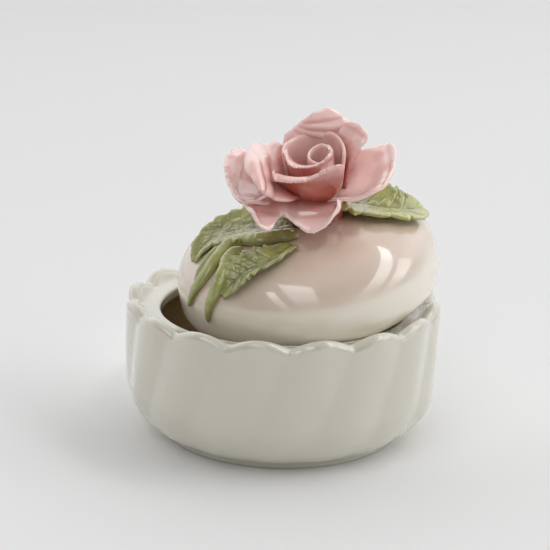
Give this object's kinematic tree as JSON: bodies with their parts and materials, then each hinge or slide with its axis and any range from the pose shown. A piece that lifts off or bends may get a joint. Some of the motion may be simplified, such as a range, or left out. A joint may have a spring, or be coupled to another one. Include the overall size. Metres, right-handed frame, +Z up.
{
  "type": "porcelain trinket box",
  "caption": "Round porcelain trinket box: a bowl with swirled flutes and a dished ledge, and a loose domed lid with a hand-built rose, leaves and stems.",
  "frame": {"origin": "centre of the foot ring, on the surface the bowl stands on", "axes": "+Z up along the bowl's axis, -Y towards the front, where the dropped side of the lid and the front petal are, +X to the right"},
  "size_m": [0.0798, 0.0798, 0.0837],
  "materials": {
    "bowl_glaze": "clear glossy glaze over warm white porcelain",
    "lid_glaze": "clear glossy glaze over pinkish ivory porcelain",
    "rose_glaze": "glossy pink glaze, deeper in the folds",
    "rose_deep_glaze": "glossy deep pink glaze",
    "leaf_glaze": "glossy sage green glaze",
    "stem_glaze": "glossy sage green glaze"
  },
  "bodies": {
    "bowl": {"bowl": "bowl_glaze"},
    "lid": {"lid": "lid_glaze", "rose_receptacle": "rose_deep_glaze", "petal_heart": "rose_deep_glaze", "petal_inner_scroll": "rose_deep_glaze", "petal_inner_back": "rose_glaze", "petal_inner_front": "rose_glaze", "petal_left_inner": "rose_glaze", "petal_left_outer": "rose_glaze", "petal_back": "rose_glaze", "petal_back_right": "rose_glaze", "petal_right": "rose_glaze", "petal_front": "rose_glaze", "leaf_left": "leaf_glaze", "leaf_front": "leaf_glaze", "leaf_right": "leaf_glaze", "stem_long": "stem_glaze", "stem_short": "stem_glaze", "stem_side": "stem_glaze"}
  },
  "joints": [
    {"name": "lid_lift", "type": "slide", "parent": "bowl", "child": "lid", "axis": [0, 0, 1], "range_m": [0, 0.055]}
  ]
}
